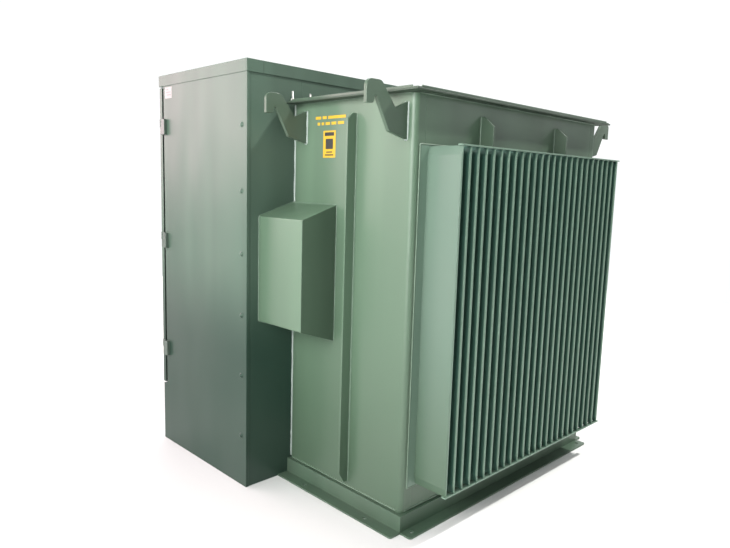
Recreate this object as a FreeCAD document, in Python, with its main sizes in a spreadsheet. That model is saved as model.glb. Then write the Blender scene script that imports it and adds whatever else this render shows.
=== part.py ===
"""Three-phase pad-mounted transformer: terminal cabinet in front, finned oil tank behind.

Units are millimetres. +Z is up, the doors face -Y, the cooling fins face +Y, and the
origin lies on the ground under the middle of the whole object.
"""
import FreeCAD, Part
import Sketcher
import os

doc = FreeCAD.newDocument("Transformer")

# ---------------------------------------------------------------- driving dimensions
DIMENSIONS = {
    # terminal cabinet
    "cabinet_width": 1932, "cabinet_depth": 782, "cabinet_height": 1900,
    "cabinet_sheet": 3, "roof_rim": 53, "rear_return": 15, "front_return": 40,
    "sill_height": 308, "sill_setback": 4, "sill_shelf": 60, "header_height": 95,
    "header_shelf": 40, "post_width": 60,
    # doors and their hinges
    "door_depth": 25, "door_gap": 15, "door_play": 8, "door_top_gap": 6,
    "hinge_height": 76, "hinge_radius": 8, "hinge_pin_radius": 4, "hinge_play": 0.05,
    "hinge_clearance": 1, "hinge_block": 32, "hinge_leaf": 4, "hinge_inset": 193,
    "handle_plate_width": 64, "handle_plate_height": 240, "handle_plate_sheet": 4,
    "handle_inset": 40, "handle_level": 1080, "handle_bar_width": 22,
    "handle_bar_height": 150, "handle_bar_proud": 26,
    # tank shell
    "tank_width": 1428, "tank_depth": 724, "tank_top": 1734, "tank_sheet": 6,
    "tank_floor_sheet": 8, "bend_radius": 25, "tank_return": 60, "tank_lap": 40,
    # flange and cover on the tank
    "flange_overhang": 51, "flange_inside": 40, "flange_sheet": 7,
    "cover_setback": 6, "cover_sheet": 5, "lip_sheet": 5, "lip_height": 6, "lip_stop": 26,
    "cover_front_gap": 5,
    # base rails with outward feet
    "rail_height": 75, "rail_proud": 14, "rail_sheet": 8, "rail_ledge": 60,
    "foot_width": 56, "foot_sheet": 8, "foot_corner": 12, "anchor_radius": 9,
    "anchor_from_web": 26, "side_anchor_inset": 162, "rear_anchor_inset": 27,
    # cooling fins on the rear wall
    "fin_count": 26, "fin_pitch": 50.7, "fin_thickness": 11, "fin_depth": 162,
    "fin_bottom": 183, "fin_height": 1358, "fin_pinch": 34, "fin_edge": 3,
    "fin_panel_margin": 43, "fin_panel_sheet": 3, "fin_bar_width": 20,
    "fin_bar_thickness": 6, "fin_bar_overhang": 18,
    # welded ribs, stiffeners, hooks and the side housing
    "rib_offset": 304, "rib_sheet": 10, "rib_depth": 65, "rib_top": 1681,
    "rib_shoulder": 42, "rib_tip": 14,
    "stiffener_place": 411, "stiffener_sheet": 10, "stiffener_depth": 51,
    "stiffener_bottom": 105, "stiffener_top": 1674, "stiffener_step": 23,
    "stiffener_low_taper": 46, "stiffener_high_taper": 27,
    "hook_sheet": 16, "hook_foot": 1561, "hook_reach": 220, "hook_height": 199,
    "hook_front_place": 93, "hook_rear_inset": 36,
    "housing_reach": 186, "housing_length": 299, "housing_low": 771,
    "housing_high": 1239, "housing_flare": 62, "housing_bend": 6,
}

sheet = doc.addObject("Spreadsheet::Sheet", "Sizes")
for row, (alias, number) in enumerate(DIMENSIONS.items(), start=1):
    sheet.set("A%d" % row, alias)
    sheet.set("B%d" % row, str(number))
    sheet.setAlias("B%d" % row, alias)
doc.recompute()

# ---------------------------------------------------------------- worked-out places
HALF_CABINET = "(Sizes.cabinet_width / 2)"
HALF_TANK = "(Sizes.tank_width / 2)"
HANDLE_PROUD = "(Sizes.handle_plate_sheet + Sizes.handle_bar_proud)"
# Y of the cabinet's rear face: the whole object is centred on Y = 0
REAR = ("((Sizes.cabinet_depth + %s - Sizes.tank_depth - Sizes.fin_panel_sheet"
        " - Sizes.fin_depth) / 2)" % HANDLE_PROUD)
FRONT = "(%s - Sizes.cabinet_depth)" % REAR
DOOR_BACK = "(%s + Sizes.door_depth)" % FRONT
PANEL_FRONT = "(%s + Sizes.door_gap)" % DOOR_BACK
TANK_FRONT = "(%s - Sizes.cabinet_sheet)" % REAR
TANK_REAR = "(%s + Sizes.tank_depth)" % REAR
FLANGE_TOP = "(Sizes.tank_top + Sizes.flange_sheet)"
WALL_FOOT = "(Sizes.rail_height + Sizes.tank_floor_sheet)"
WEB_X = "(%s + Sizes.rail_proud)" % HALF_TANK
WEB_Y = "(%s + Sizes.rail_proud)" % TANK_REAR
RIM_BOTTOM = "(Sizes.cabinet_height - Sizes.roof_rim)"
ROOF_UNDER = "(Sizes.cabinet_height - Sizes.cabinet_sheet)"
DOOR_BOTTOM = "(Sizes.sill_height + Sizes.door_play)"
DOOR_TOP = "(%s - Sizes.door_top_gap)" % RIM_BOTTOM
FIN_TOP = "(Sizes.fin_bottom + Sizes.fin_height)"


def number(expression):
    """The present value of an expression over the sheet."""
    return float(getattr(sheet.evalExpression(expression), "Value", sheet.evalExpression(expression)))


def bind(item, **places):
    """Bind properties such as Length, and x, y, z of the Placement, to expressions."""
    for name, expression in places.items():
        path = "Placement.Base." + name if name in ("x", "y", "z") else name
        item.setExpression(path, expression)


def sided(pair, side):
    """An X range on the right of the object, or its mirror image on the left."""
    low, high = pair
    if side == "right":
        return low, high
    return "-(%s)" % high, "-(%s)" % low


def sided_x(expression, side):
    return expression if side == "right" else "-(%s)" % expression


def block(label, x, y, z):
    """A straight-sided plate or bar between three pairs of expressions."""
    item = doc.addObject("Part::Box", label)
    item.Label = label
    bind(item, Length="(%s) - (%s)" % (x[1], x[0]), Width="(%s) - (%s)" % (y[1], y[0]),
         Height="(%s) - (%s)" % (z[1], z[0]), x=x[0], y=y[0], z=z[0])
    return item


def cylinder(label, radius, height, x, y, z):
    item = doc.addObject("Part::Cylinder", label)
    item.Label = label
    bind(item, Radius=radius, Height=height, x=x, y=y, z=z)
    return item


def fused(label, pieces):
    item = doc.addObject("Part::MultiFuse", label)
    item.Label = label
    item.Shapes = pieces
    item.Refine = True
    return item


def cut(label, base, tool):
    item = doc.addObject("Part::Cut", label)
    item.Label = label
    item.Base = base
    item.Tool = tool
    return item


# ---------------------------------------------------------------- sketched bodies
def new_body(label, x="0", y="0", z="0"):
    body = doc.addObject("PartDesign::Body", label)
    body.Label = label
    bind(body, x=x, y=y, z=z)
    return body


def pin_point(sketch, geometry, end, x, y):
    """Hold one end of a sketch element at two expressions from the sketch's origin."""
    for kind, expression, axis in (("DistanceX", x, -2), ("DistanceY", y, -1)):
        if expression == "0":
            sketch.addConstraint(Sketcher.Constraint("PointOnObject", geometry, end, axis))
            continue
        rule = Sketcher.Constraint(kind, -1, 1, geometry, end, number(expression))
        sketch.setExpression("Constraints[%d]" % sketch.addConstraint(rule), expression)


def outline(body, plane, corners, holes=(), lift="0"):
    """A closed sketch through corners, with round holes given as (x, y, radius)."""
    sketch = body.newObject("Sketcher::SketchObject", body.Label + "_outline")
    origin_planes = {item.Role: item for item in body.Origin.OriginFeatures}
    sketch.AttachmentSupport = (origin_planes[plane], [""])
    sketch.MapMode = "FlatFace"
    sketch.setExpression("AttachmentOffset.Base.z", lift)
    points = [FreeCAD.Vector(number(x), number(y), 0) for x, y in corners]
    count = len(points)
    for index in range(count):
        following = points[(index + 1) % count]
        sketch.addGeometry(Part.LineSegment(points[index], following))
    for index in range(count):
        sketch.addConstraint(Sketcher.Constraint("Coincident", index, 2, (index + 1) % count, 1))
        pin_point(sketch, index, 1, *corners[index])
    for x, y, radius in holes:
        middle = FreeCAD.Vector(number(x), number(y), 0)
        ring = sketch.addGeometry(Part.Circle(middle, FreeCAD.Vector(0, 0, 1), number(radius)))
        pin_point(sketch, ring, 3, x, y)
        rule = Sketcher.Constraint("Radius", ring, number(radius))
        sketch.setExpression("Constraints[%d]" % sketch.addConstraint(rule), radius)
    return sketch


def pad(body, sketch, length):
    """Raise a sketch along +X, +Y or +Z; the XZ plane faces -Y and is padded backwards."""
    item = body.newObject("PartDesign::Pad", body.Label + "_pad")
    item.Profile = sketch
    item.setExpression("Length", length)
    item.Reversed = "XZ_Plane" in sketch.AttachmentSupport[0][0].Role
    body.Tip = item
    return item


def prism(label, plane, corners, length, place=("0", "0", "0"), holes=()):
    body = new_body(label, *place)
    pad(body, outline(body, plane, corners, holes), length)
    return body


def round_edges(body, spots, radius, plane):
    """Round the straight edges that cross the sketch plane at the given corners."""
    doc.recompute()
    base = body.Tip
    first, second, along = {"XY_Plane": (0, 1, 2), "XZ_Plane": (0, 2, 1),
                            "YZ_Plane": (1, 2, 0)}[plane]
    wanted = [(number(x), number(y)) for x, y in spots]
    names = []
    for index, edge in enumerate(base.Shape.Edges, start=1):
        start, end = edge.firstVertex().Point, edge.lastVertex().Point
        if abs(start[along] - end[along]) < 1e-6:
            continue
        if any(abs(start[first] - x) + abs(start[second] - y) < 1e-3
               and abs(end[first] - x) + abs(end[second] - y) < 1e-3 for x, y in wanted):
            names.append("Edge%d" % index)
    item = body.newObject("PartDesign::Fillet", body.Label + "_rounding")
    item.Base = (base, names)
    item.setExpression("Radius", radius)
    body.Tip = item
    return item


nodes = []


def keep(*items):
    """Name finished sub-parts: each becomes one node."""
    nodes.extend(items)


# ---------------------------------------------------------------- terminal cabinet
def cabinet_roof():
    """Cap folded down over the cabinet on all four sides, one sheet proud of the panels."""
    sheet_size = "Sizes.cabinet_sheet"
    outer = block("roof_outer",
                  ("-%s - %s" % (HALF_CABINET, sheet_size), "%s + %s" % (HALF_CABINET, sheet_size)),
                  ("%s - %s" % (FRONT, sheet_size), "%s + %s" % (REAR, sheet_size)),
                  (RIM_BOTTOM, "Sizes.cabinet_height"))
    inner = block("roof_inside", ("-" + HALF_CABINET, HALF_CABINET), (FRONT, REAR),
                  (RIM_BOTTOM, ROOF_UNDER))
    keep(cut("cabinet_roof", outer, inner))


def cabinet_side(side):
    """Side sheet with a return at the door edge, one over the rear wall, and a low toe."""
    sheet_size = "Sizes.cabinet_sheet"
    depth = "(%s - %s)" % (REAR, PANEL_FRONT)
    outer, inner = HALF_CABINET, "(%s - %s)" % (HALF_CABINET, sheet_size)
    section = [(outer, "0"), (outer, depth),
               ("%s - Sizes.rear_return" % outer, depth),
               ("%s - Sizes.rear_return" % outer, "%s - %s" % (depth, sheet_size)),
               (inner, "%s - %s" % (depth, sheet_size)), (inner, sheet_size),
               ("%s - Sizes.front_return" % outer, sheet_size),
               ("%s - Sizes.front_return" % outer, "0")]
    section = [(sided_x(x, side), y) for x, y in section]
    body = prism("cabinet_side_" + side, "XY_Plane", section, ROOF_UNDER, ("0", PANEL_FRONT, "0"))
    reach = "-(%s - %s - Sizes.sill_setback)" % (PANEL_FRONT, FRONT)
    toe = [(outer, "0"), (outer, reach), (inner, reach), (inner, "0")]
    toe = [(sided_x(x, side), y) for x, y in toe]
    pad(body, outline(body, "XY_Plane", toe), "Sizes.sill_height")
    keep(body)


def cabinet_rear(side):
    """Upright rear strip between the side sheet and the tank, lapping the tank's front."""
    x = ("%s - Sizes.tank_lap" % HALF_TANK, "%s - Sizes.cabinet_sheet" % HALF_CABINET)
    keep(block("cabinet_rear_" + side, sided(x, side),
               ("%s - Sizes.cabinet_sheet" % TANK_FRONT, TANK_FRONT), ("0", ROOF_UNDER)))


def cabinet_rear_top():
    """Rear panel above the tank, between the two upright strips."""
    x = "(%s - Sizes.tank_lap)" % HALF_TANK
    keep(block("cabinet_rear_top", ("-" + x, x),
               ("%s - Sizes.cabinet_sheet" % TANK_FRONT, TANK_FRONT),
               ("Sizes.tank_top - Sizes.tank_lap", ROOF_UNDER)))


def cabinet_sill():
    """Front sill under the doors: a folded sheet with a shelf turned inward."""
    inside = "(%s - Sizes.cabinet_sheet)" % HALF_CABINET
    section = [("0", "0"), ("Sizes.cabinet_sheet", "0"),
               ("Sizes.cabinet_sheet", "Sizes.sill_height - Sizes.cabinet_sheet"),
               ("Sizes.sill_shelf", "Sizes.sill_height - Sizes.cabinet_sheet"),
               ("Sizes.sill_shelf", "Sizes.sill_height"), ("0", "Sizes.sill_height")]
    sill = prism("sill_folded", "YZ_Plane", section, "2 * %s" % inside,
                 ("-" + inside, "%s + Sizes.sill_setback" % FRONT, "0"))
    notch_y = ("%s - 1" % PANEL_FRONT, "%s + Sizes.cabinet_sheet" % PANEL_FRONT)
    notches = []
    for side in ("right", "left"):
        x = ("%s - Sizes.front_return" % HALF_CABINET, HALF_CABINET)
        notches.append(block("sill_notch_" + side, sided(x, side), notch_y,
                             ("Sizes.sill_height - 2 * Sizes.cabinet_sheet",
                              "Sizes.sill_height + Sizes.cabinet_sheet")))
    keep(cut("cabinet_sill", sill, fused("sill_notches", notches)))


def cabinet_header():
    """Folded channel behind the top edge of the doors, carrying the roof."""
    inside = "(%s - Sizes.cabinet_sheet)" % HALF_CABINET
    section = [("0", "0"), ("Sizes.cabinet_sheet", "0"),
               ("Sizes.cabinet_sheet", "Sizes.header_height - Sizes.cabinet_sheet"),
               ("Sizes.header_shelf", "Sizes.header_height - Sizes.cabinet_sheet"),
               ("Sizes.header_shelf", "Sizes.header_height"), ("0", "Sizes.header_height")]
    keep(prism("cabinet_header", "YZ_Plane", section, "2 * %s" % inside,
               ("-" + inside, "%s + Sizes.cabinet_sheet" % PANEL_FRONT,
                "%s - Sizes.header_height" % ROOF_UNDER)))


def cabinet_post():
    """Removable middle post that the two doors close against."""
    face = "(%s + Sizes.cabinet_sheet)" % PANEL_FRONT
    keep(block("cabinet_center_post", ("-Sizes.post_width / 2", "Sizes.post_width / 2"),
               ("%s - Sizes.cabinet_sheet" % face, face),
               ("Sizes.sill_height", "%s - Sizes.header_height / 2" % ROOF_UNDER)))


# ---------------------------------------------------------------- doors
def door(side):
    """Pan door: one sheet folded back along all four edges."""
    x = ("Sizes.door_play / 2", HALF_CABINET)
    inside = ("Sizes.door_play / 2 + Sizes.cabinet_sheet", "%s - Sizes.cabinet_sheet" % HALF_CABINET)
    outer = block("door_blank_" + side, sided(x, side), (FRONT, DOOR_BACK),
                  (DOOR_BOTTOM, DOOR_TOP))
    inner = block("door_hollow_" + side, sided(inside, side),
                  ("%s + Sizes.cabinet_sheet" % FRONT, DOOR_BACK),
                  ("%s + Sizes.cabinet_sheet" % DOOR_BOTTOM, "%s - Sizes.cabinet_sheet" % DOOR_TOP))
    keep(cut("door_" + side, outer, inner))


HINGE_X = "(%s + Sizes.hinge_radius)" % HALF_CABINET
HINGE_Y = "(%s + Sizes.door_gap / 2)" % DOOR_BACK
HINGE_FEET = ["%s + Sizes.hinge_inset - Sizes.hinge_height / 2" % DOOR_BOTTOM,
              "(%s + %s - Sizes.hinge_height) / 2" % (DOOR_BOTTOM, DOOR_TOP),
              "%s - Sizes.hinge_inset - Sizes.hinge_height / 2" % DOOR_TOP]
KNUCKLE = "(Sizes.hinge_height / 2 - Sizes.hinge_clearance / 2)"


def hinge_on_cabinet(side, index, foot):
    """Block on the side sheet with the lower knuckle and the upright pin."""
    name = "hinge_block_%s_%d" % (side, index)
    x = sided_x(HINGE_X, side)
    behind = "%s + Sizes.hinge_radius + Sizes.hinge_clearance" % HINGE_Y
    reach = sided((HALF_CABINET, "%s + 2 * Sizes.hinge_radius" % HALF_CABINET), side)
    parts = [block(name + "_body", reach, (behind, "%s + Sizes.hinge_block" % behind),
                   (foot, "%s + Sizes.hinge_height" % foot)),
             block(name + "_neck", reach, (HINGE_Y, behind), (foot, "%s + %s" % (foot, KNUCKLE))),
             cylinder(name + "_knuckle", "Sizes.hinge_radius", KNUCKLE, x, HINGE_Y, foot),
             cylinder(name + "_pin", "Sizes.hinge_pin_radius", "Sizes.hinge_height", x, HINGE_Y, foot)]
    return fused(name, parts)


def hinge_on_door(side, index, foot):
    """Upper knuckle with its leaf on the door's folded edge, bored for the pin."""
    name = "hinge_leaf_%s_%d" % (side, index)
    x = sided_x(HINGE_X, side)
    start = "%s + %s + Sizes.hinge_clearance" % (foot, KNUCKLE)
    leaf = block(name + "_plate",
                 sided((HALF_CABINET, "%s + Sizes.hinge_leaf" % HALF_CABINET), side),
                 ("%s + Sizes.cabinet_sheet" % FRONT, HINGE_Y),
                 (start, "%s + %s" % (start, KNUCKLE)))
    knuckle = cylinder(name + "_knuckle", "Sizes.hinge_radius", KNUCKLE, x, HINGE_Y, start)
    bore = cylinder(name + "_bore", "Sizes.hinge_pin_radius + Sizes.hinge_play",
                    "Sizes.hinge_height", x, HINGE_Y, foot)
    return cut(name, fused(name + "_blank", [leaf, knuckle]), bore)


def compound(label, items):
    """Like pieces that don't touch, held together as one node."""
    item = doc.addObject("Part::Compound", label)
    item.Label = label
    item.Links = items
    return item


def hinges(side):
    blocks = [hinge_on_cabinet(side, i, foot) for i, foot in enumerate(HINGE_FEET)]
    leaves = [hinge_on_door(side, i, foot) for i, foot in enumerate(HINGE_FEET)]
    keep(compound("cabinet_hinges_" + side, blocks), compound("door_hinges_" + side, leaves))


def door_handle():
    """Backplate near the meeting edge of the right door, with an upright grip."""
    inner = "Sizes.door_play / 2 + Sizes.handle_inset"
    middle = "%s + Sizes.handle_plate_width / 2" % inner
    plate_face = "%s - Sizes.handle_plate_sheet" % FRONT
    plate = block("handle_plate", (inner, "%s + Sizes.handle_plate_width" % inner),
                  (plate_face, FRONT),
                  ("Sizes.handle_level - Sizes.handle_plate_height / 2",
                   "Sizes.handle_level + Sizes.handle_plate_height / 2"))
    half = "Sizes.handle_bar_width / 2"
    grip = block("handle_grip", ("%s - %s" % (middle, half), "%s + %s" % (middle, half)),
                 ("%s - Sizes.handle_bar_proud" % plate_face,
                  "%s - Sizes.handle_bar_proud / 2" % plate_face),
                 ("Sizes.handle_level - Sizes.handle_bar_height", "Sizes.handle_level + " + half))
    stem = block("handle_stem", ("%s - %s" % (middle, half), "%s + %s" % (middle, half)),
                 ("%s - Sizes.handle_bar_proud" % plate_face, plate_face),
                 ("Sizes.handle_level - " + half, "Sizes.handle_level + " + half))
    keep(fused("door_handle", [plate, grip, stem]))


# ---------------------------------------------------------------- tank
def tank_side(side):
    """Side wall bent round both upright corners of the tank."""
    sheet_size = "Sizes.tank_sheet"
    depth = "(%s - %s)" % (TANK_REAR, TANK_FRONT)
    outer, inner = HALF_TANK, "(%s - %s)" % (HALF_TANK, sheet_size)
    tip = "(%s - Sizes.tank_return)" % HALF_TANK
    section = [(tip, "0"), (outer, "0"), (outer, depth), (tip, depth),
               (tip, "%s - %s" % (depth, sheet_size)), (inner, "%s - %s" % (depth, sheet_size)),
               (inner, sheet_size), (tip, sheet_size)]
    section = [(sided_x(x, side), y) for x, y in section]
    body = prism("tank_side_" + side, "XY_Plane", section, "Sizes.tank_top - %s" % WALL_FOOT,
                 ("0", TANK_FRONT, WALL_FOOT))
    round_edges(body, [section[1], section[2]], "Sizes.bend_radius", "XY_Plane")
    round_edges(body, [section[5], section[6]], "Sizes.bend_radius - Sizes.tank_sheet", "XY_Plane")
    keep(body)


def tank_end_walls():
    """Front and rear walls between the bent ends of the side walls."""
    x = "(%s - Sizes.tank_return)" % HALF_TANK
    height = (WALL_FOOT, "Sizes.tank_top")
    keep(block("tank_front_wall", ("-" + x, x),
               (TANK_FRONT, "%s + Sizes.tank_sheet" % TANK_FRONT), height))
    keep(block("tank_rear_wall", ("-" + x, x),
               ("%s - Sizes.tank_sheet" % TANK_REAR, TANK_REAR), height))


def tank_floor():
    """Floor plate under the walls, rounded like the wall corners."""
    depth = "(%s - %s)" % (TANK_REAR, TANK_FRONT)
    corners = [("-" + HALF_TANK, "0"), (HALF_TANK, "0"), (HALF_TANK, depth), ("-" + HALF_TANK, depth)]
    body = prism("tank_floor", "XY_Plane", corners, "Sizes.tank_floor_sheet",
                 ("0", TANK_FRONT, "Sizes.rail_height"))
    round_edges(body, corners, "Sizes.bend_radius", "XY_Plane")
    keep(body)


def tank_flange():
    """Flat bars welded round the top of the walls: two long side bars, two between."""
    outer = "(%s + Sizes.flange_overhang)" % HALF_TANK
    inner = "(%s - Sizes.flange_inside)" % HALF_TANK
    front = "(%s + Sizes.cover_front_gap)" % REAR
    rear = "(%s + Sizes.flange_overhang)" % TANK_REAR
    height = ("Sizes.tank_top", FLANGE_TOP)
    for side in ("right", "left"):
        keep(block("tank_flange_" + side, sided((inner, outer), side), (front, rear), height))
    keep(block("tank_flange_front", ("-" + inner, inner),
               (front, "%s + Sizes.flange_inside" % front), height))
    keep(block("tank_flange_rear", ("-" + inner, inner),
               ("%s - Sizes.flange_inside" % TANK_REAR, rear), height))


def tank_cover():
    """Bolted cover sheet with low upturned lips that stop short of each corner."""
    x = "(%s + Sizes.flange_overhang - Sizes.cover_setback)" % HALF_TANK
    front = "(%s + Sizes.cover_front_gap + Sizes.cover_setback)" % REAR
    rear = "(%s + Sizes.flange_overhang - Sizes.cover_setback)" % TANK_REAR
    top = "(%s + Sizes.cover_sheet)" % FLANGE_TOP
    lip = (top, "%s + Sizes.lip_height" % top)
    pieces = [block("cover_sheet", ("-" + x, x), (front, rear), (FLANGE_TOP, top))]
    along_y = ("%s + Sizes.lip_stop" % front, "%s - Sizes.lip_stop" % rear)
    for side in ("right", "left"):
        pieces.append(block("cover_lip_" + side, sided(("%s - Sizes.lip_sheet" % x, x), side),
                            along_y, lip))
    along_x = ("-%s + Sizes.lip_stop" % x, "%s - Sizes.lip_stop" % x)
    pieces.append(block("cover_lip_front", along_x, (front, "%s + Sizes.lip_sheet" % front), lip))
    pieces.append(block("cover_lip_rear", along_x, ("%s - Sizes.lip_sheet" % rear, rear), lip))
    keep(fused("tank_cover", pieces))


# ---------------------------------------------------------------- base
def base_rail_side(side):
    """Side rail: upright web, foot turned outward, and a ledge turned under the tank."""
    web, thick = WEB_X, "Sizes.rail_sheet"
    length = "(%s - %s)" % (WEB_Y, TANK_FRONT)
    section = [(web, "Sizes.rail_height"), (web, "0"), ("%s - %s" % (web, thick), "0"),
               ("%s - %s" % (web, thick), "Sizes.rail_height")]
    section = [(sided_x(x, side), z) for x, z in section]
    body = prism("base_rail_" + side, "XZ_Plane", section, length, ("0", TANK_FRONT, "0"))
    ledge = [("%s - Sizes.rail_ledge" % web, "Sizes.rail_ledge"), (web, "Sizes.rail_ledge"),
             (web, "%s - Sizes.rail_ledge" % length),
             ("%s - Sizes.rail_ledge" % web, "%s - Sizes.rail_ledge" % length)]
    ledge = [(sided_x(x, side), y) for x, y in ledge]
    pad(body, outline(body, "XY_Plane", ledge, lift="Sizes.rail_height - " + thick), thick)
    edge = "(%s + Sizes.foot_width)" % web
    plan = [(web, "0"), (edge, "0"), (edge, length), (web, length)]
    plan = [(sided_x(x, side), y) for x, y in plan]
    inset = "(%s - %s)" % (REAR, TANK_FRONT)
    spot = sided_x("%s + Sizes.anchor_from_web" % web, side)
    holes = [(spot, "%s + Sizes.side_anchor_inset" % inset, "Sizes.anchor_radius"),
             (spot, "%s + Sizes.tank_depth - Sizes.side_anchor_inset" % inset, "Sizes.anchor_radius")]
    pad(body, outline(body, "XY_Plane", plan, holes), "Sizes.foot_sheet")
    round_edges(body, [plan[2]], "Sizes.foot_corner", "XY_Plane")
    keep(body)


def base_rail_rear():
    """Rear rail between the side rails, with its foot running the whole width."""
    thick = "Sizes.rail_sheet"
    inner = "(%s - %s)" % (WEB_X, thick)
    section = [("0", "0"), ("0", "Sizes.rail_height"), ("-Sizes.rail_ledge", "Sizes.rail_height"),
               ("-Sizes.rail_ledge", "Sizes.rail_height - %s" % thick),
               ("-%s" % thick, "Sizes.rail_height - %s" % thick), ("-%s" % thick, "0")]
    body = prism("base_rail_rear", "YZ_Plane", section, "2 * %s" % inner,
                 ("-" + inner, WEB_Y, "0"))
    near, far = "-%s + %s" % (thick, "0"), "2 * %s + %s" % (inner, thick)
    plan = [(near, "0"), (far, "0"), (far, "Sizes.foot_width"), (near, "Sizes.foot_width")]
    first = "%s - %s + Sizes.rear_anchor_inset" % (inner, HALF_TANK)
    last = "%s + %s - Sizes.rear_anchor_inset" % (inner, HALF_TANK)
    holes = [(first, "Sizes.anchor_from_web", "Sizes.anchor_radius"),
             (last, "Sizes.anchor_from_web", "Sizes.anchor_radius")]
    pad(body, outline(body, "XY_Plane", plan, holes), "Sizes.foot_sheet")
    round_edges(body, [plan[2], plan[3]], "Sizes.foot_corner", "XY_Plane")
    keep(body)


def base_rail_front():
    """Plain front rail under the tank, with a ledge but no foot."""
    thick = "Sizes.rail_sheet"
    inner = "(%s - %s)" % (WEB_X, thick)
    section = [("0", "0"), (thick, "0"), (thick, "Sizes.rail_height - %s" % thick),
               ("Sizes.rail_ledge", "Sizes.rail_height - %s" % thick),
               ("Sizes.rail_ledge", "Sizes.rail_height"), ("0", "Sizes.rail_height")]
    keep(prism("base_rail_front", "YZ_Plane", section, "2 * %s" % inner,
               ("-" + inner, TANK_FRONT, "0")))


# ---------------------------------------------------------------- cooling fins
FIRST_FIN = "((Sizes.fin_count - 1) * Sizes.fin_pitch / 2 + Sizes.fin_thickness / 2)"
FIN_ROOT = "(%s + Sizes.fin_panel_sheet)" % TANK_REAR


def fin_panel():
    """Backing sheet of the corrugated wall, with a flat margin at each side."""
    x = "(%s + Sizes.fin_panel_margin)" % FIRST_FIN
    keep(block("fin_panel", ("-" + x, x), (TANK_REAR, FIN_ROOT),
               ("Sizes.fin_bottom - Sizes.fin_bar_thickness",
                "%s + Sizes.fin_bar_thickness" % FIN_TOP)))


def cooling_fins():
    """One folded fin, pressed flat at both ends towards -X, and repeated along the wall."""
    thick, tall = "Sizes.fin_thickness", "Sizes.fin_height"
    section = [("0", "0"), (thick, "0"), (thick, "Sizes.fin_depth"), ("0", "Sizes.fin_depth")]
    body = prism("cooling_fins", "XY_Plane", section, tall,
                 ("-" + FIRST_FIN, FIN_ROOT, "Sizes.fin_bottom"))
    round_edges(body, [section[2], section[3]], "Sizes.fin_thickness / 2.5", "XY_Plane")
    for name, end, start in (("low", "0", "Sizes.fin_pinch"),
                             ("high", tall, tall + " - Sizes.fin_pinch")):
        wedge = [("Sizes.fin_edge", end), (thick, start), (thick, end)]
        press = body.newObject("PartDesign::Pocket", "fin_press_" + name)
        press.Profile = outline(body, "XZ_Plane", wedge)
        press.setExpression("Length", "Sizes.fin_depth")
        body.Tip = press
    repeat = body.newObject("PartDesign::LinearPattern", "fin_row")
    repeat.TransformMode = "Whole shape"
    axes = {item.Role: item for item in body.Origin.OriginFeatures}
    repeat.Direction = (axes["X_Axis"], [""])
    repeat.setExpression("Length", "(Sizes.fin_count - 1) * Sizes.fin_pitch")
    repeat.setExpression("Occurrences", "Sizes.fin_count")
    body.AllowCompound = True
    body.Tip = repeat
    keep(body)


def fin_bars():
    """Flat bars along the outer corners of the fins, above and below."""
    x = ("-%s - Sizes.fin_bar_overhang" % FIRST_FIN, FIRST_FIN)
    tip = "(%s + Sizes.fin_depth)" % FIN_ROOT
    y = ("%s - Sizes.fin_bar_width" % tip, tip)
    keep(block("fin_bar_top", x, y, (FIN_TOP, "%s + Sizes.fin_bar_thickness" % FIN_TOP)))
    keep(block("fin_bar_bottom", x, y,
               ("Sizes.fin_bottom - Sizes.fin_bar_thickness", "Sizes.fin_bottom")))


# ---------------------------------------------------------------- welded plates
def rear_rib(side):
    """Short upright rib on the rear wall above the fins, its top corner cut back."""
    foot = "(%s + Sizes.fin_bar_thickness)" % FIN_TOP
    top = "(Sizes.rib_top - %s)" % foot
    profile = [("0", "0"), ("Sizes.rib_depth", "0"), ("Sizes.rib_depth", "%s - Sizes.rib_shoulder" % top),
               ("Sizes.rib_tip", top), ("0", top)]
    low, _ = sided(("Sizes.rib_offset - Sizes.rib_sheet", "Sizes.rib_offset"), side)
    keep(prism("rear_rib_" + side, "YZ_Plane", profile, "Sizes.rib_sheet", (low, TANK_REAR, foot)))


def side_stiffener(side):
    """Upright flat bar on the side wall with both ends tapered to the wall."""
    height = "(Sizes.stiffener_top - Sizes.stiffener_bottom)"
    step, deep = "Sizes.stiffener_step", "Sizes.stiffener_depth"
    profile = [("0", "0"), (step, "0"), (deep, "Sizes.stiffener_low_taper"),
               (deep, "%s - Sizes.stiffener_high_taper" % height), (step, height), ("0", height)]
    profile = [(sided_x(x, side) if x != "0" else x, z) for x, z in profile]
    place = (sided_x(HALF_TANK, side), "%s + Sizes.stiffener_place - Sizes.stiffener_sheet" % REAR,
             "Sizes.stiffener_bottom")
    keep(prism("side_stiffener_" + side, "XZ_Plane", profile, "Sizes.stiffener_sheet", place))


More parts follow.
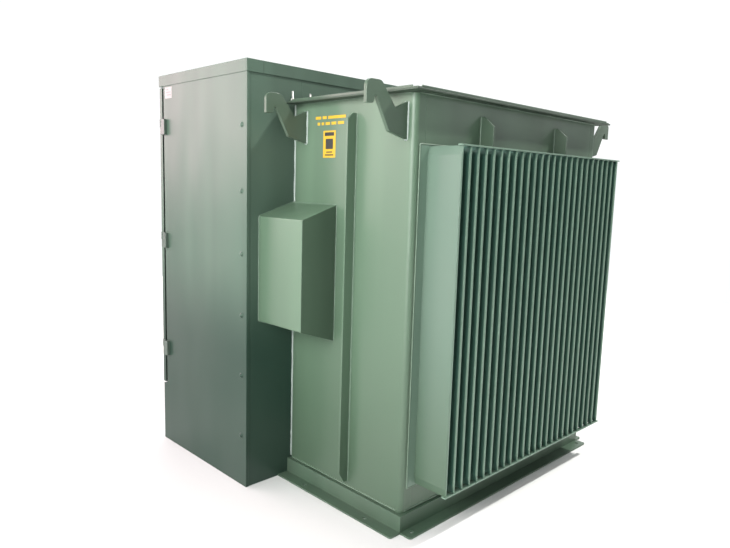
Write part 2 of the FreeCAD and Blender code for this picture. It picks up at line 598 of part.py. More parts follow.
def lifting_hook(side, end):
    """Lifting lug cut from plate: a sloping arm, a round head and a nose hanging outside."""
    reach, tall = "Sizes.hook_reach", "Sizes.hook_height"
    shape = [("0", "0"), ("0.46 * " + reach, "0.115 * " + tall), ("0.72 * " + reach, "0.61 * " + tall),
             ("0.79 * " + reach, "0.77 * " + tall), ("0.845 * " + reach, "0.58 * " + tall),
             (reach, "0.57 * " + tall), (reach, tall), ("0.66 * " + reach, tall),
             ("0.32 * " + reach, "0.555 * " + tall), ("0", "0.705 * " + tall)]
    sided_shape = [(sided_x(x, side) if x != "0" else x, z) for x, z in shape]
    depth = "Sizes.hook_front_place" if end == "front" else "Sizes.tank_depth - Sizes.hook_rear_inset"
    place = (sided_x(HALF_TANK, side), "%s + %s - Sizes.hook_sheet" % (REAR, depth), "Sizes.hook_foot")
    body = prism("lifting_hook_%s_%s" % (end, side), "XZ_Plane", sided_shape, "Sizes.hook_sheet", place)
    round_edges(body, [sided_shape[6], sided_shape[7]], "0.13 * " + reach, "XZ_Plane")
    round_edges(body, [sided_shape[3]], "0.03 * " + reach, "XZ_Plane")
    keep(body)


def side_housing():
    """Closed folded housing in the corner of tank and cabinet, flared towards the tank."""
    reach = "Sizes.housing_reach"
    high = "(Sizes.housing_high - Sizes.housing_low)"
    profile = [("0", "-Sizes.housing_flare"), (reach, "0"), (reach, high),
               ("0", "%s + Sizes.housing_flare" % high)]
    length = "(Sizes.housing_length + Sizes.cabinet_sheet)"
    body = prism("side_housing", "XZ_Plane", profile, length,
                 (HALF_TANK, TANK_FRONT, "Sizes.housing_low"))
    round_edges(body, [profile[1], profile[2]], "Sizes.housing_bend", "XZ_Plane")
    keep(body)


# ---------------------------------------------------------------- build
cabinet_roof()
cabinet_rear_top()
cabinet_sill()
cabinet_header()
cabinet_post()
door_handle()
tank_end_walls()
tank_floor()
tank_flange()
tank_cover()
base_rail_rear()
base_rail_front()
fin_panel()
cooling_fins()
fin_bars()
side_housing()
for hand in ("right", "left"):
    cabinet_side(hand)
    cabinet_rear(hand)
    door(hand)
    hinges(hand)
    tank_side(hand)
    base_rail_side(hand)
    rear_rib(hand)
    side_stiffener(hand)
    for place in ("front", "rear"):
        lifting_hook(hand, place)

doc.recompute()

# ---------------------------------------------------------------- check and write
for item in doc.Objects:
    if "Invalid" in item.State or "Error" in item.State:
        raise RuntimeError("%s did not build: %s" % (item.Label, item.State))
for item in nodes:
    if item.Shape.isNull() or not item.Shape.isValid():
        raise RuntimeError("%s has no valid shape" % item.Label)

os.makedirs("parts", exist_ok=True)
for item in nodes:
    item.Shape.exportStep("parts/%s.step" % item.Label)
    print(item.Label, len(item.Shape.Solids), round(item.Shape.Volume / 1e9, 6))
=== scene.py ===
"""Three-phase pad-mounted transformer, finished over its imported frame. Metres, +Z up."""
import bmesh
import bpy
import math
import random
from mathutils import Matrix, Vector


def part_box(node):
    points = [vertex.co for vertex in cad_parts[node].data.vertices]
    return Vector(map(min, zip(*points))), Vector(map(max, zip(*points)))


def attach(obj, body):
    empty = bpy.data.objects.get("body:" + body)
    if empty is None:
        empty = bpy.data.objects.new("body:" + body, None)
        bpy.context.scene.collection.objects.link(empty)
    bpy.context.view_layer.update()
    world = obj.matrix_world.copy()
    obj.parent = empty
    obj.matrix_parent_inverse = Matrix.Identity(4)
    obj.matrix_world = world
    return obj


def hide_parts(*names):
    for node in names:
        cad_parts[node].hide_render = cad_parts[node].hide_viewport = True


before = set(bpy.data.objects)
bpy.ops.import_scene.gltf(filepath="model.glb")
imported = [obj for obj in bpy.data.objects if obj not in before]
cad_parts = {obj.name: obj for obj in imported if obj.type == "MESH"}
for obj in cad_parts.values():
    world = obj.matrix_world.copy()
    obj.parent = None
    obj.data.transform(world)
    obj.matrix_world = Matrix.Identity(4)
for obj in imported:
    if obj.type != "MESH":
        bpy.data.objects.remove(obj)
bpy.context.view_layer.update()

# ---------------------------------------------------------------- terminal cabinet
# The cabinet is folded from 3 mm steel sheet: a cap, two sides, a rear sheet round the tank,
# a fixed sill and an inner header. The folds are slightly round and the whole is enamelled
# after welding, so the film runs over every edge.
PANEL_EDGE = 0.0014
CABINET_GREEN = (0.066, 0.108, 0.080)
# Painted shade: the cabinet's and doors' colour falls from 1.08 m down to 0.58 m, where the lower
# sides lie in shade.
CABINET_PAINTED_SHADE = ("Z", 1.08, 0.58, (0.30, 0.42, 0.40))
CABINET_GLOSS = 0.26
DUST = (0.22, 0.23, 0.20)
SATIN = 0.335
THINNER, THICKER = 0.92, 1.07
RUN_SCALE, RUN_STRETCH = 7.0, (1.0, 1.0, 0.07)
CLOUD_SCALE = 1.7
GLOSS_SCALE, GLOSS_STRETCH = 5.0, (1.0, 1.0, 0.3)
PEEL_SCALE, PEEL_STRENGTH, PEEL_DEPTH = 160.0, 0.05, 0.0003
WAVE_SCALE, WAVE_STRETCH, WAVE_DEPTH = 2.2, (1.0, 1.0, 0.6), 0.006


def enamel(name, colour, roughness=SATIN, dust=0.04, wave=0.25, painted_shade=None, gloss=0.5):
    """Sprayed enamel: orange peel, runs of slightly thinner film, a little dust.

    The painted shade is given as (axis, full, deepest, left): along the axis, from where the
    colour is full to where the painted shade is deepest, its red, green and blue fall to the
    shares left.
    """
    look = bpy.data.materials.new(name)
    look.use_nodes = True
    nodes, links = look.node_tree.nodes, look.node_tree.links
    shader = nodes["Principled BSDF"]
    shader.inputs["Specular IOR Level"].default_value = gloss
    place = nodes.new("ShaderNodeTexCoord")

    def grain(scale, stretch=(1.0, 1.0, 1.0)):
        mapping = nodes.new("ShaderNodeMapping")
        mapping.inputs["Scale"].default_value = stretch
        noise = nodes.new("ShaderNodeTexNoise")
        noise.inputs["Scale"].default_value = scale
        noise.inputs["Detail"].default_value = 1.0
        links.new(place.outputs["Object"], mapping.inputs["Vector"])
        links.new(mapping.outputs["Vector"], noise.inputs["Vector"])
        return noise.outputs["Fac"]

    def between(value, low, high, out_low, out_high):
        span = nodes.new("ShaderNodeMapRange")
        span.interpolation_type = "SMOOTHSTEP"
        for socket, number in zip(("From Min", "From Max", "To Min", "To Max"),
                                  (low, high, out_low, out_high)):
            span.inputs[socket].default_value = number
        links.new(value, span.inputs["Value"])
        return span.outputs["Result"]

    def blended(factor, first, second):
        mix = nodes.new("ShaderNodeMix")
        mix.data_type = "RGBA"
        links.new(factor, mix.inputs["Factor"])
        for value, socket in ((first, mix.inputs[6]), (second, mix.inputs[7])):
            if isinstance(value, tuple):
                socket.default_value = (*value, 1.0)
            else:
                links.new(value, socket)
        return mix.outputs[2]

    def bumped(height, strength, depth):
        bump = nodes.new("ShaderNodeBump")
        bump.inputs["Strength"].default_value = strength
        bump.inputs["Distance"].default_value = depth
        links.new(height, bump.inputs["Height"])
        return bump

    darker = tuple(THINNER * part for part in colour)
    lighter = tuple(THICKER * part for part in colour)
    runs = between(grain(RUN_SCALE, RUN_STRETCH), 0.35, 0.68, 0.0, 1.0)
    cloud = between(grain(CLOUD_SCALE), 0.35, 0.70, 0.0, dust)
    film = blended(runs, darker, lighter)
    # Painted shade: the colour falls along the axis towards the shares left.
    if painted_shade:
        axis, full, deepest, left = painted_shade
        split = nodes.new("ShaderNodeSeparateXYZ")
        links.new(place.outputs["Object"], split.inputs["Vector"])
        shaded = tuple(share * part for share, part in zip(left, colour))
        film = blended(between(split.outputs[axis], full, deepest, 0.0, 1.0), film, shaded)
    links.new(blended(cloud, film, DUST), shader.inputs["Base Color"])
    sheen = grain(GLOSS_SCALE, GLOSS_STRETCH)
    links.new(between(sheen, 0.3, 0.7, roughness - 0.05, roughness + 0.07),
              shader.inputs["Roughness"])
    peel = bumped(grain(PEEL_SCALE), PEEL_STRENGTH, PEEL_DEPTH)
    sheet = bumped(grain(WAVE_SCALE, WAVE_STRETCH), wave, WAVE_DEPTH)
    links.new(peel.outputs["Normal"], sheet.inputs["Normal"])
    links.new(sheet.outputs["Normal"], shader.inputs["Normal"])
    return look


def tinted(share, colour):
    """The same colour with all its parts taken down or up by one share."""
    return tuple(share * part for part in colour)


def fixed(name, mesh, body):
    """A piece put into the scene, riding on its body."""
    piece = bpy.data.objects.new(name, mesh)
    bpy.context.scene.collection.objects.link(piece)
    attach(piece, body)
    return piece


MERGE = 0.00001
FLAT_WITHIN = 0.01
CREASE_FROM = 0.03
EASED_FROM = math.radians(35)


def finished(node, body, look, edge, crease_area=None):
    """The finished piece over its blank: the same faces, with every sharp edge eased.

    A fold between two faces larger than crease_area stays crisp.
    """
    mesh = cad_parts[node].data.copy()
    work = bmesh.new()
    work.from_mesh(mesh)
    bmesh.ops.remove_doubles(work, verts=work.verts, dist=MERGE)
    bmesh.ops.dissolve_limit(work, angle_limit=FLAT_WITHIN, verts=work.verts, edges=work.edges)
    for face in work.faces:
        face.smooth = True
        face.material_index = 0
    if crease_area:
        for fold in work.edges:
            wide = [face for face in fold.link_faces if face.calc_area() > crease_area]
            if len(wide) == 2 and fold.calc_face_angle(0.0) > CREASE_FROM:
                fold.smooth = False
    work.to_mesh(mesh)
    work.free()
    mesh.materials.clear()
    mesh.materials.append(look)
    piece = fixed(node + "_finished", mesh, body)
    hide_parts(node)
    easing = piece.modifiers.new("eased_edges", "BEVEL")
    easing.width = edge
    easing.segments = 2
    easing.limit_method = "ANGLE"
    easing.angle_limit = EASED_FROM
    flatness = piece.modifiers.new("flat_faces", "WEIGHTED_NORMAL")
    flatness.weight = 100
    flatness.keep_sharp = True
    return piece


cabinet_enamel = enamel("cabinet_enamel", CABINET_GREEN, dust=0.05, painted_shade=CABINET_PAINTED_SHADE,
                        gloss=CABINET_GLOSS)
for node in ("cabinet_roof", "cabinet_side_right", "cabinet_side_left", "cabinet_rear_right",
             "cabinet_rear_left", "cabinet_rear_top", "cabinet_sill", "cabinet_header",
             "cabinet_center_post"):
    finished(node, "housing", cabinet_enamel, PANEL_EDGE)

# Dome-headed bolts with washers hold each side sheet to the rear frame, six to a side.
# They are fitted before the last coat, so they carry the same enamel.
SIDES = (("right", 1), ("left", -1))
BOLT_LEVELS = (0.238, 0.521, 0.796, 1.072, 1.347, 1.629)
BOLT_FROM_REAR = 0.040
BOLT_HEAD = ((0.0120, 0.0000), (0.0120, 0.0012), (0.0112, 0.0018), (0.0085, 0.0019),
             (0.0082, 0.0036), (0.0072, 0.0054), (0.0050, 0.0068), (0.0024, 0.0075),
             (0.0, 0.0077))


def turned(name, profile, spots, axis, body, look, around=24):
    """Turned parts, all alike: a profile of (radius, height) swept round each spot."""
    work = bmesh.new()
    tilt = Vector((0, 0, 1)).rotation_difference(Vector(axis)).to_matrix().to_4x4()
    for spot in spots:
        stand = Matrix.Translation(Vector(spot)) @ tilt
        rings = []
        for radius, height in profile:
            if radius == 0.0:
                rings.append([work.verts.new(stand @ Vector((0, 0, height)))])
                continue
            ring = []
            for step in range(around):
                turn = 2 * math.pi * step / around
                ring.append(work.verts.new(
                    stand @ Vector((radius * math.cos(turn), radius * math.sin(turn), height))))
            rings.append(ring)
        for lower, upper in zip(rings, rings[1:]):
            for step in range(around):
                after = (step + 1) % around
                if len(upper) == 1:
                    work.faces.new((lower[step], lower[after], upper[0]))
                else:
                    work.faces.new((lower[step], lower[after], upper[after], upper[step]))
        work.faces.new(list(reversed(rings[0])))
    for face in work.faces:
        face.smooth = len(face.verts) < 5
    mesh = bpy.data.meshes.new(name)
    work.to_mesh(mesh)
    work.free()
    mesh.materials.append(look)
    return fixed(name, mesh, body)


cabinet_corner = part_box("cabinet_side_right")[1]
cabinet_face, cabinet_rear = cabinet_corner.x, cabinet_corner.y
for side, sign in SIDES:
    turned("side_bolts_" + side, BOLT_HEAD,
           [(sign * cabinet_face, cabinet_rear - BOLT_FROM_REAR, level) for level in BOLT_LEVELS],
           (sign, 0, 0), "housing", cabinet_enamel)

# The cap is folded from two lengths: a butt seam shows in each rim near the corners.
# The seam is a fine dark line, where the enamel has drawn back from the joint.
SEAM_FROM_SIDE = 0.082
SEAM_WIDTH, SEAM_PROUD, SEAM_SUNK = 0.0016, 0.0004, 0.001
THIN_EDGE = 0.0001
seam_shade = enamel("seam_shade", tinted(0.35, CABINET_GREEN), roughness=0.6)


def plate(name, low, high, look):
    """A thin flat plate on the housing between two corners, with eased edges."""
    work = bmesh.new()
    bmesh.ops.create_cube(work, size=1.0)
    low, high = Vector(low), Vector(high)
    for vert in work.verts:
        vert.co = Vector(((low[i] + high[i]) / 2 + vert.co[i] * (high[i] - low[i])
                          for i in range(3)))
    bmesh.ops.bevel(work, geom=list(work.edges), offset=THIN_EDGE, segments=2, affect="EDGES",
                    profile=0.5)
    mesh = bpy.data.meshes.new(name)
    work.to_mesh(mesh)
    work.free()
    mesh.materials.append(look)
    return fixed(name, mesh, "housing")


roof_low, roof_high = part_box("cabinet_roof")
for side, sign in SIDES:
    seam = sign * (cabinet_face - SEAM_FROM_SIDE)
    plate("roof_seam_" + side,
          (seam - SEAM_WIDTH / 2, roof_high.y - SEAM_SUNK, roof_low.z + SEAM_SUNK),
          (seam + SEAM_WIDTH / 2, roof_high.y + SEAM_PROUD, roof_high.z - SEAM_SUNK),
          seam_shade)

# ---------------------------------------------------------------- doors
# Two pan doors, folded back on all four edges, meet at the middle post. They hang on
# lift-off hinges and the right one carries the handle that locks both.
# The doors carry the cabinet's painted shade towards the bottom.
door_enamel = enamel("door_enamel", CABINET_GREEN, dust=0.05, painted_shade=CABINET_PAINTED_SHADE,
                     gloss=CABINET_GLOSS)
finished("door_right", "right_door", door_enamel, PANEL_EDGE)
finished("door_left", "left_door", door_enamel, PANEL_EDGE)

# Each hinge is a machined block pair: the lower half with its pin is welded to the side
# sheet, the upper half to the door's fold. Both are painted over in place.
HINGE_EDGE = 0.0012
HINGE_GREEN = (0.062, 0.092, 0.072)
hinge_enamel = enamel("hinge_enamel", HINGE_GREEN, dust=0.05, wave=0.0)
for side in ("right", "left"):
    finished("cabinet_hinges_" + side, "housing", hinge_enamel, HINGE_EDGE)
    finished("door_hinges_" + side, side + "_door", hinge_enamel, HINGE_EDGE)

# The handle is a pressed backplate with an upright cast grip, brushed and clear lacquered.
# Two cap screws hold the backplate to the door.
HANDLE_EDGE = 0.002
HANDLE_STEEL, HANDLE_ROUGHNESS = (0.46, 0.47, 0.46), 0.34
BACKPLATE = 0.004
SCREW_FROM_TOP, SCREW_FROM_FOOT = 0.020, 0.050
SCREW_HEAD = ((0.0075, 0.0), (0.0075, 0.0035), (0.0066, 0.0045), (0.0040, 0.0046),
              (0.0036, 0.0025), (0.0, 0.0025))
BRUSH_LINES = (40.0, 40.0, 900.0)


def brushed(name, colour, roughness):
    """Brushed steel: fine lines across, and darker patches where it has dulled."""
    look = bpy.data.materials.new(name)
    look.use_nodes = True
    nodes, links = look.node_tree.nodes, look.node_tree.links
    shader = nodes["Principled BSDF"]
    shader.inputs["Metallic"].default_value = 1.0
    place = nodes.new("ShaderNodeTexCoord")
    mapping = nodes.new("ShaderNodeMapping")
    mapping.inputs["Scale"].default_value = BRUSH_LINES
    lines = nodes.new("ShaderNodeTexNoise")
    lines.inputs["Scale"].default_value = 1.0
    ramp = nodes.new("ShaderNodeValToRGB")
    ramp.color_ramp.elements[0].color = (*tinted(0.7, colour), 1.0)
    ramp.color_ramp.elements[1].color = (*colour, 1.0)
    span = nodes.new("ShaderNodeMapRange")
    span.inputs["To Min"].default_value = roughness - 0.08
    span.inputs["To Max"].default_value = roughness + 0.10
    links.new(place.outputs["Object"], mapping.inputs["Vector"])
    links.new(mapping.outputs["Vector"], lines.inputs["Vector"])
    links.new(lines.outputs["Fac"], ramp.inputs["Fac"])
    links.new(lines.outputs["Fac"], span.inputs["Value"])
    links.new(ramp.outputs["Color"], shader.inputs["Base Color"])
    links.new(span.outputs["Result"], shader.inputs["Roughness"])
    return look


handle_steel = brushed("handle_steel", HANDLE_STEEL, HANDLE_ROUGHNESS)
finished("door_handle", "right_door", handle_steel, HANDLE_EDGE)
low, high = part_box("door_handle")
plate_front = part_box("door_right")[0].y - BACKPLATE
turned("handle_screws", SCREW_HEAD,
       [((low.x + high.x) / 2, plate_front, level)
        for level in (low.z + SCREW_FROM_FOOT, high.z - SCREW_FROM_TOP)],
       (0, -1, 0), "right_door", handle_steel)

# ---------------------------------------------------------------- tank
# The tank is 6 mm plate: two side walls bent round the corners, flat end walls let in
# between them, and a floor plate. Flat bars form the flange that the cover sits on. Its rear
# faces and its cover take darker copies of its green, as painted shade.
PLATE_EDGE = 0.0016
TANK_GREEN = (0.088, 0.146, 0.096)
REAR_SHADE_SHARE, SHADE_SHARE, FLANGE_SHADE_SHARE = 0.88, 0.62, 0.38
FACES_REAR = 0.98
# Painted shade: the tank's colour falls towards the bottom, to about two thirds at 0.10 m.
tank_enamel = enamel("tank_enamel", TANK_GREEN, painted_shade=("Z", 0.95, 0.10, (0.66, 0.69, 0.66)))
# Darker copies of the tank's green as painted shade: 0.62 for the cover, hooks, rear ribs and the
# housing's rear face, 0.88 for the tank's rear faces.
shade_enamel = enamel("shade_enamel", tinted(SHADE_SHARE, TANK_GREEN), dust=0.12)
rear_shade_enamel = enamel("rear_shade_enamel", tinted(REAR_SHADE_SHARE, TANK_GREEN), dust=0.16)


def shade_rear_faces(piece, look):
    """Faces turned to the rear take a darker copy of the paint: painted shade."""
    piece.data.materials.append(look)
    for face in piece.data.polygons:
        if face.normal.y > FACES_REAR:
            face.material_index = 1


for node in ("tank_side_right", "tank_side_left", "tank_front_wall", "tank_floor"):
    shade_rear_faces(finished(node, "housing", tank_enamel, PLATE_EDGE), rear_shade_enamel)
finished("tank_rear_wall", "housing", rear_shade_enamel, PLATE_EDGE)
finished("tank_cover", "housing", shade_enamel, PLATE_EDGE)
# Painted shade: the flange bars take a much darker copy of the tank's green, for the dark band
# under the cover's lip.
flange_shade_enamel = enamel("flange_shade_enamel", tinted(FLANGE_SHADE_SHARE, TANK_GREEN), roughness=0.5)
for node in ("tank_flange_right", "tank_flange_left", "tank_flange_front", "tank_flange_rear"):
    finished(node, "housing", flange_shade_enamel, PLATE_EDGE)

# Welded parts of the tank: hooks and stiffeners from plate, ribs above the fins, and the
# closed housing folded from sheet in the corner of tank and cabinet.
LUG_EDGE = 0.0018
HOUSING_EDGE = 0.003
# Hooks and rear ribs take the darker copy: painted shade.
for node in ("lifting_hook_front_right", "lifting_hook_front_left", "lifting_hook_rear_right",
             "lifting_hook_rear_left", "rear_rib_right", "rear_rib_left"):
    finished(node, "housing", shade_enamel, LUG_EDGE)
for node in ("side_stiffener_right", "side_stiffener_left"):
    finished(node, "housing", tank_enamel, LUG_EDGE)
# The housing's rear face takes the darker copy: painted shade.
shade_rear_faces(finished("side_housing", "housing", tank_enamel, HOUSING_EDGE),
          shade_enamel)

# ---------------------------------------------------------------- cooling wall
# Each fin of the rear wall is one deep fold of sheet, pressed flat at both ends and tied by
# a flat bar above and below. The noses are painted lighter as painted highlight, and behind them
# the colour falls to painted shade between the fins; only the outer faces of the two end fins
# keep the plain fin green.
FIN_EDGE = 0.0009
FIN_FACE = 0.004
FIN_GREEN = (0.092, 0.146, 0.110)
BAR_HIGHLIGHT_SHARE, NOSE_HIGHLIGHT_SHARE = 1.4, 1.45
NOSE_FULL, NOSE_SHADED = 0.003, 0.009
OUTER_FIN, FACES_OUT = 0.012, 0.3
# Painted shade: the fin green falls towards the bottom.
fin_enamel = enamel("fin_enamel", FIN_GREEN, dust=0.05, wave=0.15,
                    painted_shade=("Z", 0.95, 0.10, (0.66, 0.72, 0.62)))
# Painted highlight: the bars and the fin panel take a copy of the fin green 1.4 times lighter.
bar_highlight_enamel = enamel("bar_highlight_enamel", tinted(BAR_HIGHLIGHT_SHARE, FIN_GREEN))
for node in ("fin_panel", "fin_bar_top", "fin_bar_bottom"):
    finished(node, "housing", bar_highlight_enamel, FIN_EDGE, FIN_FACE)
fin_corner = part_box("cooling_fins")[1]
# Painted highlight on the fin noses, 1.45 times the fin green; behind them the colour falls to
# painted shade between the fins.
nose_highlight_gap_shade_enamel = enamel("nose_highlight_gap_shade_enamel", tinted(NOSE_HIGHLIGHT_SHARE, FIN_GREEN), dust=0.02, wave=0.15,
                     painted_shade=("Y", fin_corner.y - NOSE_FULL, fin_corner.y - NOSE_SHADED,
                           (0.26, 0.41, 0.41)))
fins = finished("cooling_fins", "housing", nose_highlight_gap_shade_enamel, FIN_EDGE, FIN_FACE)
fins.data.materials.append(fin_enamel)
for face in fins.data.polygons:
    outward = face.normal.x * math.copysign(1.0, face.center.x)
    if abs(face.center.x) > fin_corner.x - OUTER_FIN and outward > FACES_OUT:
        face.material_index = 1

# ---------------------------------------------------------------- base
# Folded rails under the tank with feet turned outward, bored for the anchor bolts. They are
# welded to the tank's floor, and their film is darker and duller than the tank's.
RAIL_EDGE = 0.0016
RAIL_GREEN = (0.060, 0.104, 0.068)
rail_enamel = enamel("rail_enamel", RAIL_GREEN, roughness=0.42, dust=0.08)
for node in ("base_rail_right", "base_rail_left", "base_rail_rear", "base_rail_front"):
    finished(node, "housing", rail_enamel, RAIL_EDGE)

# ---------------------------------------------------------------- weld beads
# Fillet welds laid by hand along every joint of the tank, painted over. Each bead is a run
# of small overlapping ripples, a little uneven in width.
BEAD, LUG_BEAD, CORNER_BEAD = 0.0036, 0.0048, 0.0065
RIPPLE = 0.0032
BEAD_SIDES = 8
VALLEY, RUN_OUT = 0.84, 0.5
HAND_DRIFT, HAND_STEADY = 0.08, 0.85
LUG_SEAM = 0.141
WALL_BEND = 0.025
CORNER_IN, CORNER_OFF = 0.009, 0.003
PANEL_OFF = 0.001
HOUSING_FACE_FOOT, HOUSING_FACE_HEAD = 0.771, 1.239
# Painted highlight: the beads are painted lighter than the tank, and the corner and lug beads
# much lighter still, for the light on their round tops.
bead_highlight_enamel = enamel("bead_highlight_enamel", (0.115, 0.175, 0.126), wave=0.0)
bright_bead_highlight = enamel("bright_bead_highlight_enamel", (0.30, 0.36, 0.33), wave=0.0)


def weld(name, runs, size=BEAD, look=bead_highlight_enamel):
    """Weld beads along straight runs, each run a pair of end points."""
    draw = random.Random(name)
    work = bmesh.new()
    for start, end in runs:
        start, end = Vector(start), Vector(end)
        along = (end - start).normalized()
        across = along.orthogonal().normalized()
        third = along.cross(across)
        count = max(2, int((end - start).length / RIPPLE))
        wander = 0.0
        previous = None
        for step in range(count + 1):
            centre = start + (end - start) * step / count
            wander = HAND_STEADY * wander + draw.uniform(-HAND_DRIFT, HAND_DRIFT)
            width = size * ((1.0 if step % 2 else VALLEY) + wander)
            if step in (0, count):
                width *= RUN_OUT
            ring = []
            for turn in range(BEAD_SIDES):
                angle = 2 * math.pi * turn / BEAD_SIDES
                ring.append(work.verts.new(
                    centre + across * width * math.cos(angle) + third * width * math.sin(angle)))
            if previous:
                for turn in range(BEAD_SIDES):
                    after = (turn + 1) % BEAD_SIDES
                    work.faces.new((previous[turn], previous[after], ring[after], ring[turn]))
            else:
                work.faces.new(list(reversed(ring)))
            previous = ring
        work.faces.new(previous)
    for face in work.faces:
        face.smooth = True
    bmesh.ops.recalc_face_normals(work, faces=work.faces)
    mesh = bpy.data.meshes.new(name)
    work.to_mesh(mesh)
    work.free()
    mesh.materials.append(look)
    return fixed(name, mesh, "housing")


tank_low, tank_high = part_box("tank_side_right")
half_tank, tank_front, tank_rear = tank_high.x, tank_low.y, tank_high.y
wall_foot, wall_top = tank_low.z, tank_high.z
strip_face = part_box("cabinet_rear_right")[1].y
for side, sign in SIDES:
    wall = sign * half_tank
    corner = sign * (half_tank - CORNER_IN)
    weld("corner_weld_" + side, [((corner, strip_face + CORNER_OFF, wall_foot),
                                  (corner, strip_face + CORNER_OFF, wall_top))],
         CORNER_BEAD, bright_bead_highlight)
    lug_runs = []
    for place in ("front", "rear"):
        low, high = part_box("lifting_hook_%s_%s" % (place, side))
        for face in (low.y, high.y):
            lug_runs.append(((wall, face, low.z), (wall, face, low.z + LUG_SEAM)))
        lug_runs.append(((wall, low.y, low.z), (wall, high.y, low.z)))
    low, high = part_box("side_stiffener_" + side)
    side_runs = [((wall, face, low.z), (wall, face, high.z)) for face in (low.y, high.y)]
    side_runs += [((wall, tank_front + WALL_BEND, level), (wall, tank_rear - WALL_BEND, level))
                  for level in (wall_foot, wall_top)]
    weld("side_welds_" + side, side_runs)
    weld("lug_welds_" + side, lug_runs, LUG_BEAD, bright_bead_highlight)

low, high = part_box("side_housing")
weld("housing_welds", [
    ((half_tank, high.y, low.z), (half_tank, high.y, high.z)),
    ((half_tank, strip_face, high.z), (half_tank, high.y, high.z)),
    ((half_tank, strip_face, low.z), (half_tank, high.y, low.z)),
    ((high.x, strip_face, HOUSING_FACE_FOOT), (high.x, strip_face, HOUSING_FACE_HEAD)),
    ((half_tank, strip_face, high.z), (high.x, strip_face, HOUSING_FACE_HEAD)),
    ((half_tank, strip_face, low.z), (high.x, strip_face, HOUSING_FACE_FOOT))])

panel_low, panel_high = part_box("fin_panel")
panel_back = tank_rear + PANEL_OFF
rear_runs = [((edge, panel_back, panel_low.z), (edge, panel_back, panel_high.z))
             for edge in (panel_high.x, -panel_high.x)]
rear_runs += [((-panel_high.x, panel_back, level), (panel_high.x, panel_back, level))
              for level in (panel_low.z, panel_high.z)]
bend_start = half_tank - WALL_BEND
rear_runs += [((-bend_start, tank_rear, level), (bend_start, tank_rear, level))
              for level in (wall_foot, wall_top)]
for side in ("right", "left"):
    low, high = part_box("rear_rib_" + side)
    rear_runs += [((face, tank_rear, low.z), (face, tank_rear, high.z))
                  for face in (low.x, high.x)]
weld("rear_welds", rear_runs)

# ---------------------------------------------------------------- cover studs
# Zinc-plated studs with nuts clamp the front edge of the cover, where the cabinet leaves
# no room for a weld.
STUD_PITCH, STUD_COUNT = 0.0996, 16
STUD_FROM_EDGE = 0.0165
COVER_LIP = 0.006
STUD = ((0.0095, 0.0), (0.0095, 0.0090), (0.0082, 0.0100), (0.0050, 0.0102), (0.0050, 0.0400),
        (0.0042, 0.0420), (0.0, 0.0420))
zinc = brushed("zinc_plate", (0.62, 0.62, 0.60), 0.38)
cover_low, cover_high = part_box("tank_cover")
turned("cover_studs", STUD,
       [((index - (STUD_COUNT - 1) / 2) * STUD_PITCH, cover_low.y + STUD_FROM_EDGE,
         cover_high.z - COVER_LIP) for index in range(STUD_COUNT)],
       (0, 0, 1), "housing", zinc, around=6)

# ---------------------------------------------------------------- plain labels
# A plain yellow plate and two rows of yellow dashes on the tank, and a pale plate on the
# cabinet: thin self-adhesive film with no wording, pressed onto the enamel.
YELLOW = (0.50, 0.32, 0.015)
BLACK = (0.02, 0.02, 0.02)
PALE = (0.30, 0.29, 0.28)
GREY = (0.16, 0.15, 0.15)
FILM, PRINT, FILM_SUNK = 0.0006, 0.0009, 0.0002
BAND_HEIGHT = 0.012
BANDS = (("band_high", 1.661, ((0.150, 0.186), (0.196, 0.222), (0.232, 0.342))),
         ("band_low", 1.636, ((0.163, 0.180), (0.190, 0.206), (0.216, 0.244),
                              (0.254, 0.284), (0.294, 0.332))))
PALE_NEAR, PALE_FAR, PALE_FOOT, PALE_HEAD = 0.655, 0.724, 1.786, 1.840
LINE_TOP, LINE_PITCH, LINE_HEIGHT = 1.826, 0.013, 0.004
LINES = ((0.714, 0.690), (0.714, 0.668), (0.705, 0.665))


def printed(name, colour):
    """Printed film: nearly even colour, slightly uneven gloss."""
    return enamel(name, colour, roughness=0.42, wave=0.0)


yellow_film = printed("yellow_film", YELLOW)
black_film = printed("black_film", BLACK)
pale_film = printed("pale_film", PALE)


def tank_label(name, near, far, foot, head, look, thick=FILM):
    """Film on the tank's right wall, near and far counted from the cabinet's rear sheet."""
    plate(name, (half_tank - FILM_SUNK, cabinet_rear + near, foot),
          (half_tank + thick, cabinet_rear + far, head), look)


tank_label("label_plate", 0.203, 0.282, 1.499, 1.612, yellow_film)
tank_label("label_head", 0.213, 0.272, 1.590, 1.605, black_film, PRINT)
tank_label("label_block", 0.219, 0.266, 1.535, 1.578, black_film, PRINT)
tank_label("label_line_high", 0.224, 0.262, 1.520, 1.525, black_film, PRINT)
tank_label("label_line_low", 0.215, 0.270, 1.508, 1.513, black_film, PRINT)
for name, level, marks in BANDS:
    for index, (start, end) in enumerate(marks):
        tank_label("%s_%d" % (name, index), start, end, level, level + BAND_HEIGHT, yellow_film)
plate("side_plate", (cabinet_face - FILM_SUNK, cabinet_rear - PALE_FAR, PALE_FOOT),
      (cabinet_face + FILM, cabinet_rear - PALE_NEAR, PALE_HEAD), pale_film)
grey_film = printed("grey_film", GREY)
for index, (start, end) in enumerate(LINES):
    level = LINE_TOP - LINE_PITCH * index
    plate("side_plate_line_%d" % index, (cabinet_face, cabinet_rear - start, level),
          (cabinet_face + PRINT, cabinet_rear - end, level + LINE_HEIGHT),
          grey_film)

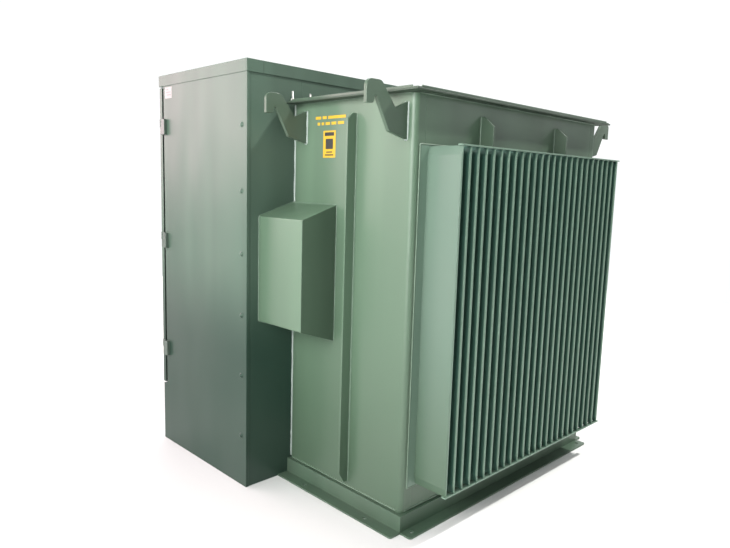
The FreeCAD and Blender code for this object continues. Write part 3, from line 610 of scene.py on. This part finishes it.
# ---------------------------------------------------------------- studio
# A pale floor, with surroundings that are pale on the doors' side and dimmer on the fins'.
# Soft panels stand at the right, above and at the rear, with a far pale wall, a strip for
# the plate edges, a small high lamp for the shadows, and a lamp on the floor past the doors.
FLOOR_RADIUS = 6.5
FLOOR_DIM, FLOOR_PALE = (0.74, 0.74, 0.735, 1), (0.79, 0.79, 0.785, 1)
PALE_UNTIL, DIM_FROM = -0.30, 0.35
PALE_STRENGTH, DIM_STRENGTH = 1.06, 0.32


def pale_floor():
    """A round floor of matt paint, very slightly mottled."""
    work = bmesh.new()
    bmesh.ops.create_circle(work, cap_ends=True, segments=128, radius=FLOOR_RADIUS)
    mesh = bpy.data.meshes.new("floor")
    work.to_mesh(mesh)
    work.free()
    look = bpy.data.materials.new("floor_paint")
    look.use_nodes = True
    nodes, links = look.node_tree.nodes, look.node_tree.links
    noise = nodes.new("ShaderNodeTexNoise")
    noise.inputs["Scale"].default_value = 6.0
    ramp = nodes.new("ShaderNodeValToRGB")
    ramp.color_ramp.elements[0].color = FLOOR_DIM
    ramp.color_ramp.elements[1].color = FLOOR_PALE
    links.new(noise.outputs["Fac"], ramp.inputs["Fac"])
    links.new(ramp.outputs["Color"], nodes["Principled BSDF"].inputs["Base Color"])
    nodes["Principled BSDF"].inputs["Roughness"].default_value = 0.8
    mesh.materials.append(look)
    floor = bpy.data.objects.new("floor", mesh)
    bpy.context.scene.collection.objects.link(floor)


def panel_light(name, place, target, width, height, power, colour=(1, 1, 1), spread=math.pi):
    """A rectangular soft light at one place, aimed at another."""
    data = bpy.data.lights.new(name, "AREA")
    data.shape = "RECTANGLE"
    data.size, data.size_y = width, height
    data.energy = power
    data.color = colour
    data.spread = spread
    lamp = bpy.data.objects.new(name, data)
    lamp.location = place
    lamp.visible_camera = False
    aim = Vector(target) - Vector(place)
    lamp.rotation_euler = aim.to_track_quat("-Z", "Y").to_euler()
    bpy.context.scene.collection.objects.link(lamp)


pale_floor()
panel_light("right_panel", (4.8, 0.25, 2.9), (0.75, 0.15, 1.75), width=2.4, height=2.0,
            power=40, colour=(1.0, 0.98, 0.96), spread=1.2)
panel_light("pale_wall", (4.4, -7.6, 3.3), (0.9, -0.5, 2.0), width=8.0, height=4.0,
            power=560, colour=(1.0, 0.70, 0.78))
panel_light("edge_strip", (3.8, 1.8, 1.9), (0.7, 0.7, 1.2), width=1.1, height=3.0, power=115)
panel_light("rear_wall", (-6.0, 5.5, 3.6), (0.0, 0.7, 1.7), width=6.0, height=3.0,
            power=50, colour=(0.95, 0.97, 1.0))
panel_light("top_panel", (0.5, 0.3, 5.5), (0.3, 0.2, 1.0), width=4.0, height=4.0, power=34)
panel_light("high_lamp", (-3.7, 2.76, 7.4), (0.8, -0.04, 1.6), width=0.4, height=0.4,
            power=720, colour=(1.0, 0.98, 0.95))
panel_light("backdrop_lamp", (-5.5, -6.5, 6.5), (-7.0, -8.5, 0.0), width=9.0, height=9.0,
            power=680)

world = bpy.data.worlds.new("surroundings")
bpy.context.scene.world = world
world.use_nodes = True
nodes, links = world.node_tree.nodes, world.node_tree.links
place = nodes.new("ShaderNodeTexCoord")
apart = nodes.new("ShaderNodeSeparateXYZ")
ramp = nodes.new("ShaderNodeMapRange")
ramp.inputs["From Min"].default_value = PALE_UNTIL
ramp.inputs["From Max"].default_value = DIM_FROM
ramp.inputs["To Min"].default_value = PALE_STRENGTH
ramp.inputs["To Max"].default_value = DIM_STRENGTH
links.new(place.outputs["Generated"], apart.inputs["Vector"])
links.new(apart.outputs["Y"], ramp.inputs["Value"])
links.new(ramp.outputs["Result"], nodes["Background"].inputs["Strength"])
nodes["Background"].inputs["Color"].default_value = (0.98, 1.0, 1.0, 1)
bpy.context.scene.view_settings.view_transform = "Standard"

# The camera stands off the rear right corner at chest height and looks slightly down.
# Its place is measured from the cabinet's rear sheet, and it is rolled a little.
CAMERA_PLACE = Vector((2.5191, cabinet_rear + 2.3197, 1.3868))
LOOK = Vector((-0.69392, -0.70663, -0.13835))
ROLL = 0.0293
LENS, SENSOR = 31.30, 36.0
camera_data = bpy.data.cameras.new("camera")
camera_data.sensor_width = SENSOR
camera_data.lens = LENS
camera = bpy.data.objects.new("camera", camera_data)
bpy.context.scene.collection.objects.link(camera)
flat_right = LOOK.cross(Vector((0, 0, 1))).normalized()
flat_up = flat_right.cross(LOOK).normalized()
right = math.cos(ROLL) * flat_right + math.sin(ROLL) * flat_up
up = -math.sin(ROLL) * flat_right + math.cos(ROLL) * flat_up
turn = Matrix((right, up, -LOOK.normalized())).transposed().to_4x4()
camera.matrix_world = Matrix.Translation(CAMERA_PLACE) @ turn
bpy.context.scene.camera = camera
